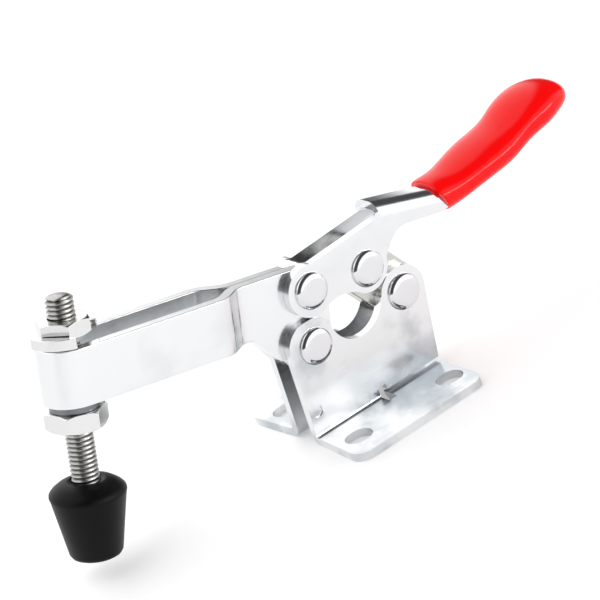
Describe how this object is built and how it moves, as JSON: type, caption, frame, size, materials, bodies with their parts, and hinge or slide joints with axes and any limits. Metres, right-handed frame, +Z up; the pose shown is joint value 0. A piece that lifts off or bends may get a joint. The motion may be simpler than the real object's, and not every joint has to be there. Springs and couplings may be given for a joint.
{
  "type": "toggle clamp",
  "caption": "Horizontal-handle toggle clamp with an open U-bar arm, linked lever with dipped grip, slotted feet and a rubber-tipped threaded spindle.",
  "frame": {"origin": "centre of the four mounting slots, on the underside of the feet", "axes": "+X from the spindle towards the handle, +Y across the clamp, +Z up from the mounting surface"},
  "size_m": [0.1534, 0.042, 0.0612],
  "materials": {
    "base_steel": "bright zinc plated pressing",
    "arm_steel": "bright zinc plated strip",
    "lever_steel": "bright zinc plated pressing",
    "link_steel": "zinc plated plate",
    "rivet_steel": "polished zinc plated rivet",
    "nut_steel": "bright zinc plated",
    "washer_steel": "bright zinc plated pressing",
    "thread_steel": "zinc plated thread",
    "red_vinyl": "glossy dipped vinyl",
    "black_rubber": "satin moulded rubber"
  },
  "bodies": {
    "base": {"base_plate_near": "base_steel", "base_plate_far": "base_steel", "rivet_arm_base": "rivet_steel", "rivet_link_base": "rivet_steel"},
    "arm": {"clamp_arm": "arm_steel"},
    "lever": {"handle_lever": "lever_steel", "grip_sleeve": "red_vinyl", "rivet_arm_lever": "rivet_steel", "rivet_lever_link": "rivet_steel"},
    "link": {"link_plate_near": "link_steel", "link_plate_far": "link_steel"},
    "carriage": {"upper_nut": "nut_steel", "upper_washer": "washer_steel", "lower_nut": "nut_steel", "lower_washer": "washer_steel"},
    "spindle": {"spindle": "thread_steel", "rubber_tip": "black_rubber"}
  },
  "joints": [
    {"name": "arm_swing", "type": "hinge", "parent": "base", "child": "arm", "pos_m": [-0.0113, 0, 0.0216], "axis": [0, 1, 0], "range_deg": [-9.5, 62]},
    {"name": "lever_swing", "type": "hinge", "parent": "arm", "child": "lever", "pos_m": [-0.00817, 0, 0.03363], "axis": [0, 1, 0], "range_deg": [-107, 17]},
    {"name": "link_swing", "type": "hinge", "parent": "base", "child": "link", "pos_m": [0.01395, 0, 0.0216], "axis": [0, 1, 0], "range_deg": [-6.5, 42]},
    {"name": "carriage_slide", "type": "slide", "parent": "arm", "child": "carriage", "axis": [0.978, 0, -0.2088], "range_m": [0, 0.028]},
    {"name": "spindle_height", "type": "slide", "parent": "carriage", "child": "spindle", "axis": [0.2088, 0, 0.978], "range_m": [-0.003, 0.011]}
  ],
  "couplings": [
    {"joint": "lever_swing", "follows": "arm_swing", "ratio": -1.72},
    {"joint": "link_swing", "follows": "arm_swing", "ratio": 0.67}
  ]
}
